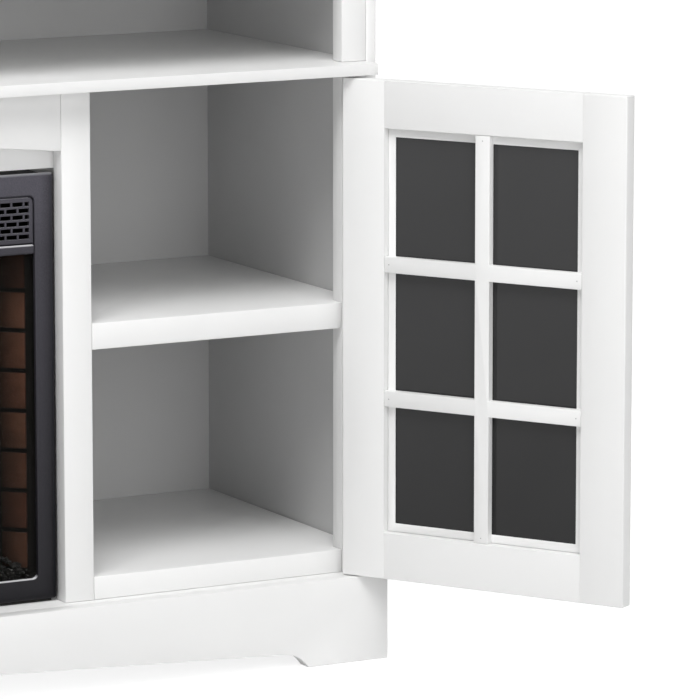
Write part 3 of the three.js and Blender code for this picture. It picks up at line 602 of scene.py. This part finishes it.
def grille_bars():
    """Short uprights that split each slot of the grille into brick-shaped vents."""
    low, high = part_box("insert_grille")
    # As in the solid: its rim, the web between slots, the plate's thickness, rows and columns.
    margin, web, plate, rows, columns = 0.0102, 0.0021, 0.002, 6, 12
    split, plate_share, overlap = 4, 0.9, 0.0006
    row_pitch = (high[2] - low[2] - 2 * margin + web) / rows
    half = high[0] - margin
    pitch = (2 * half + web) / columns / split
    bm = bmesh.new()
    for row in range(rows):
        middle = low[2] + margin + row * row_pitch + (row_pitch - web) / 2
        shift = (row % 2) * pitch / 2
        for index in range(columns * split + 1):
            x = -half + index * pitch - shift - web / 2
            if index % split and abs(x) < half:
                place = Matrix.Translation((x, low[1] + plate / 2, middle))
                size = Matrix.Diagonal((web, plate * plate_share, row_pitch - web + overlap, 1.0))
                bmesh.ops.create_cube(bm, size=1.0, matrix=place @ size)
    return finish_mesh("grille_bars", bm)


new_piece("grille_bars", grille_bars(), "carcass", "insert_trim")


# ---------------------------------------------------------------- brick wall

def prism(bm, outline, bottom, top, material_index=0):
    """Upright solid over a plan outline; returns its edges."""
    lower = [bm.verts.new((x, y, bottom)) for x, y in outline]
    upper = [bm.verts.new((x, y, top)) for x, y in outline]
    faces = [bm.faces.new(lower), bm.faces.new(upper)]
    for i in range(len(outline)):
        j = (i + 1) % len(outline)
        faces.append(bm.faces.new((lower[i], lower[j], upper[j], upper[i])))
    for face in faces:
        face.material_index = material_index
    return {edge for face in faces for edge in face.edges}


def brick_wall():
    """Backdrop in running bond whose two ends turn forward at 45 degrees, one brick wide."""
    low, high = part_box("brick_backdrop")
    # Bricks stand out from the panel by relief and reach into it by sunk.
    relief, sunk, mortar, courses, per_course = 0.003, 0.001, 0.0054, 8, 8
    # The panel turns forward at corner; its flat part has bricks as far as flat_half.
    corner, splay, flat_half, joint = 0.3134, 0.0207, 0.3100, 0.0015
    arris, mortar_index = 0.0006, 1
    panel = low[1] + relief
    end = splay * math.sqrt(2)
    bm = bmesh.new()
    plate = [(low[0], panel), (high[0], panel), (high[0], high[1]), (low[0], high[1])]
    prism(bm, plate, low[2], high[2], mortar_index)
    turned = panel - splay
    wedge = [(corner, panel), (corner + splay, turned), (high[0], turned), (high[0], panel)]
    for side in (1, -1):
        prism(bm, [(side * x, y) for x, y in wedge], low[2], high[2], mortar_index)
    bricks = set()
    for row in range(courses):
        bottom = BRICK_BOTTOM + row * BRICK_COURSE
        top = min(bottom + BRICK_COURSE - mortar, high[2])
        for index in range(per_course):
            start = -BRICK_HALF + (index - (row % 2) / 2) * BRICK_PITCH
            left, right = max(start, -flat_half), min(start + BRICK_PITCH - mortar, flat_half)
            if right - left > mortar:
                back = panel + sunk
                outline = [(left, low[1]), (right, low[1]), (right, back), (left, back)]
                bricks |= prism(bm, outline, bottom, top)
        for side in (1, -1):
            outline = []
            for run, rise in ((joint, relief), (end, relief), (end, -sunk), (joint, -sunk)):
                x = corner + (run - rise) * math.sqrt(0.5)
                outline.append((side * x, panel - (run + rise) * math.sqrt(0.5)))
            bricks |= prism(bm, outline, bottom, top)
    bmesh.ops.bevel(bm, geom=list(bricks), offset=arris, segments=2, profile=0.5, affect="EDGES")
    return finish_mesh("brick_wall", bm, smooth_angle=40, materials=(LOOKS["brick_effect"], MORTAR))


wall = new_piece("brick_wall", brick_wall(), "carcass", "brick_effect")
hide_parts("brick_backdrop")


# ---------------------------------------------------------------- ember bed

EMBER_SEED = 7


def unit_lump():
    """Corners and faces of one round lump of radius 1, to be copied many times."""
    bm = bmesh.new()
    bmesh.ops.create_icosphere(bm, subdivisions=2, radius=1.0)
    corners = [v.co.copy() for v in bm.verts]
    faces = [[v.index for v in face.verts] for face in bm.faces]
    bm.free()
    return corners, faces


def ember_lumps(bm, low, high):
    """Heap of rough lumps that is level in the middle and falls off towards both ends."""
    count, smallest, largest = 1500, 0.0022, 0.0052
    end_margin, edge_height, rise, shoulder, sink = 0.008, 0.018, 0.035, 12, 0.3
    unevenness, pattern, flatness, skin_gap = 0.6, 480, 0.8, 0.0002
    rng = random.Random(EMBER_SEED)
    corners, faces = unit_lump()
    for index in range(count):
        x = rng.uniform(low[0] + end_margin, high[0] - end_margin)
        radius = rng.uniform(smallest, largest)
        y = rng.uniform(low[1] + radius, high[1] - radius)
        heap_top = low[2] + edge_height + rise * (1 - (x / high[0]) ** shoulder)
        z = rng.uniform(low[2] + radius, heap_top - radius * sink)
        lump = []
        for corner in corners:
            point = corner * radius
            point *= 1 + unevenness * noise.noise(point * pattern + Vector((index, 0, 0)))
            point.z *= flatness
            point += Vector((x, y, z))
            point.y = min(max(point.y, low[1] + skin_gap), high[1] - skin_gap)
            point.z = max(point.z, low[2])
            lump.append(bm.verts.new(point))
        for face in faces:
            bm.faces.new([lump[i] for i in face])


def split_logs(bm, low, high, material_index):
    """Row of short logs with broken bark, tilted one way and the other in turn."""
    count, pitch, height, tilt = 5, 0.108, 0.054, 0.12
    sides, rings, length, thickness = 36, 110, 0.150, 0.0086
    taper, bark_depth, bark_along, bark_round = 0.18, 0.22, 9, 3
    dimension, lacunarity, octaves, skin_gap = 0.8, 2.0, 5, 0.0003
    widest = (high[1] - low[1]) / 2 - skin_gap
    for index in range(count):
        centre = Vector(((index - count // 2) * pitch, (low[1] + high[1]) / 2, low[2] + height))
        turn = Matrix.Rotation(tilt * (1 if index % 2 else -1), 3, "Y")
        loops = []
        for ring in range(rings + 1):
            t = ring / rings * 2 - 1
            loop = []
            for side in range(sides):
                angle = side / sides * math.tau
                y, z = math.cos(angle), math.sin(angle)
                spot = Vector((t * bark_along + index * bark_along, y * bark_round, z * bark_round))
                bark = noise.fractal(spot, dimension, lacunarity, octaves)
                radius = thickness * (1 - taper * abs(t) ** 3) * (1 + bark_depth * bark)
                point = Vector((t * length / 2, 0, 0)) + Vector((0, y, z)) * min(radius, widest)
                loop.append(bm.verts.new(centre + turn @ point))
            loops.append(loop)
        skin(bm, loops, material_index)
        for end in (loops[0], loops[-1]):
            bm.faces.new(end).material_index = material_index


def ember_bed():
    """Split logs with broken bark lying in a heap of lumpy embers."""
    low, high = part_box("ember_bed")
    bm = bmesh.new()
    ember_lumps(bm, low, high)
    split_logs(bm, low, high, material_index=1)
    return finish_mesh("ember_heap", bm, smooth_angle=60, materials=(LOOKS["ember_resin"], BARK))


embers = new_piece("ember_heap", ember_bed(), "carcass", "ember_resin")
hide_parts("ember_bed")


# ---------------------------------------------------------------- small parts of the back

def lathe(bm, profile, centre, steps=48):
    """Closed ring round a level axis along y; the profile holds (radius, distance along) pairs."""
    loops = []
    for step in range(steps):
        angle = step / steps * math.tau
        across, up = math.cos(angle), math.sin(angle)
        loops.append([
            bm.verts.new(centre + Vector((radius * across, along, radius * up)))
            for radius, along in profile
        ])
    skin(bm, loops + loops[:1])


def cable_grommets():
    """Ring in each cable hole, with a rounded rim on both faces of the back panel."""
    low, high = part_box("upper_back")
    thickness = high[1] - low[1]
    hole_off_middle, hole_height = 0.18, 0.7
    # Radii, and how far the rim stands out from the panel at the front and the rear.
    bore, crest, neck, shoulder, rim = 0.0218, 0.0245, 0.0246, 0.0290, 0.0300
    gap, front_edge, front_crest, rear_edge, rear_crest = 0.0002, 0.0020, 0.0026, 0.0018, 0.0022
    profile = [
        (bore, -front_edge), (crest, -front_crest), (shoulder, -front_edge), (rim, -gap),
        (neck, -gap), (neck, thickness + gap), (rim, thickness + gap),
        (shoulder, thickness + rear_edge), (crest, thickness + rear_crest),
        (bore, thickness + rear_edge),
    ]
    bm = bmesh.new()
    for x in (-hole_off_middle, hole_off_middle):
        lathe(bm, profile, Vector((x, low[1], hole_height)))
    return finish_mesh("cable_grommets", bm, smooth_angle=40)


new_piece("cable_grommets", cable_grommets(), "carcass", "white_paint")


def nail_heads():
    """Panel nails round the edges of the back panels."""
    inset, spacing, bedding = 0.007, 0.11, 0.0002
    outward = Matrix.Rotation(-math.pi / 2, 4, "X")
    bm = bmesh.new()
    for node in ("upper_back", "cupboard_back_right", "cupboard_back_left"):
        low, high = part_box(node)
        wide, tall = high[0] - low[0] - 2 * inset, high[2] - low[2] - 2 * inset
        across, up = max(2, round(wide / spacing)), max(2, round(tall / spacing))
        spots = [(low[0] + inset + wide * i / across, z) for i in range(across + 1)
                 for z in (low[2] + inset, high[2] - inset)]
        spots += [(x, low[2] + inset + tall * i / up) for i in range(1, up)
                  for x in (low[0] + inset, high[0] - inset)]
        for x, z in spots:
            place = Matrix.Translation((x, high[1] + bedding, z)) @ outward
            add_head(bm, place, foot=0.0024, crown=0.0014, height=0.0008, segments=14)
    return finish_mesh("nail_heads", bm, smooth_angle=30)


new_piece("nail_heads", nail_heads(), "carcass", "pin_steel", NAIL_HEAD)


# ---------------------------------------------------------------- floor, light and camera

WHITE_LIGHT = (1.0, 1.0, 1.0, 1.0)
FLOOR_COLOUR, FLOOR_GLOW = (0.82, 0.82, 0.82), 0.80
FLOOR_HALF, FLOOR_HEIGHT = 30.0, -0.0005
AMBIENT = 0.25


def seen_directly(tree):
    """1 where the lens sees a surface itself, through glass or in a reflection, else 0."""
    path = tree.nodes.new("ShaderNodeLightPath")
    seen = path.outputs["Is Camera Ray"]
    for ray in ("Is Transmission Ray", "Is Glossy Ray"):
        either = tree.nodes.new("ShaderNodeMath")
        either.operation = "MAXIMUM"
        tree.links.new(seen, either.inputs[0])
        tree.links.new(path.outputs[ray], either.inputs[1])
        seen = either.outputs[0]
    return seen


def stage_material(name, colour, glow):
    """Pale surface; what the lens sees of it is lifted towards white, and its shadow stays."""
    material = bpy.data.materials.new(name)
    material.use_nodes = True
    tree = material.node_tree
    tree.nodes.clear()
    output = tree.nodes.new("ShaderNodeOutputMaterial")
    matt = tree.nodes.new("ShaderNodeBsdfDiffuse")
    matt.inputs["Color"].default_value = (*colour, 1.0)
    light = tree.nodes.new("ShaderNodeEmission")
    light.inputs["Color"].default_value = WHITE_LIGHT
    level = tree.nodes.new("ShaderNodeMath")
    level.operation = "MULTIPLY"
    level.inputs[1].default_value = glow
    tree.links.new(seen_directly(tree), level.inputs[0])
    tree.links.new(level.outputs[0], light.inputs["Strength"])
    both = tree.nodes.new("ShaderNodeAddShader")
    tree.links.new(matt.outputs[0], both.inputs[0])
    tree.links.new(light.outputs[0], both.inputs[1])
    tree.links.new(both.outputs[0], output.inputs["Surface"])
    return material


def floor():
    """Large plane just under the feet."""
    bm = bmesh.new()
    bmesh.ops.create_grid(bm, x_segments=1, y_segments=1, size=FLOOR_HALF)
    pale = stage_material("pale_floor", FLOOR_COLOUR, FLOOR_GLOW)
    mesh = finish_mesh("floor", bm, materials=(pale,))
    thing = bpy.data.objects.new("floor", mesh)
    thing.location.z = FLOOR_HEIGHT
    bpy.context.collection.objects.link(thing)


def surroundings():
    """White world that lights the object only faintly."""
    world = bpy.data.worlds.new("soft_room")
    bpy.context.scene.world = world
    world.use_nodes = True
    tree = world.node_tree
    background = tree.nodes["Background"]
    background.inputs["Color"].default_value = WHITE_LIGHT
    level = tree.nodes.new("ShaderNodeMapRange")
    level.inputs["To Min"].default_value = AMBIENT
    level.inputs["To Max"].default_value = 1.0
    tree.links.new(seen_directly(tree), level.inputs["Value"])
    tree.links.new(level.outputs["Result"], background.inputs["Strength"])


def softbox(name, place, aim, size, power):
    """Rectangular lamp that points at a spot; its power is in watts."""
    data = bpy.data.lights.new(name, "AREA")
    data.shape = "RECTANGLE"
    data.size, data.size_y = size
    data.energy = power
    lamp = bpy.data.objects.new(name, data)
    lamp.location = place
    lamp.rotation_euler = (Vector(aim) - Vector(place)).to_track_quat("-Z", "Y").to_euler()
    bpy.context.collection.objects.link(lamp)


floor()
surroundings()
AIM = (0.45, -0.1, 0.4)
softbox("key", (-1.2, -2.4, 4.4), AIM, size=(2.6, 2.2), power=152.0)
softbox("top_front", (0.3, -3.2, 4.2), AIM, size=(2.6, 2.2), power=29.0)
softbox("low_front", (0.2, -4.8, 1.5), AIM, size=(2.4, 2.4), power=45.0)
softbox("rear", (-0.6, 4.2, 3.4), AIM, size=(2.6, 2.2), power=90.0)

# Camera fitted to the edges in the photo: it looks down and to the right.
PHOTO_WIDTH = 700
FOCAL_PIXELS = 5017.0
CAMERA_PLACE = (-1.842, -4.8662, 1.241)
CAMERA_DOWN, CAMERA_RIGHT = 9.60, 28.50
camera_data = bpy.data.cameras.new("camera")
camera_data.sensor_width = 36.0
camera_data.lens = FOCAL_PIXELS / PHOTO_WIDTH * camera_data.sensor_width
camera_data.clip_end = 100.0
camera = bpy.data.objects.new("camera", camera_data)
camera.location = CAMERA_PLACE
camera.rotation_euler = (math.radians(90 - CAMERA_DOWN), 0.0, math.radians(-CAMERA_RIGHT))
bpy.context.collection.objects.link(camera)
bpy.context.scene.camera = camera
bpy.context.scene.view_settings.view_transform = "Standard"
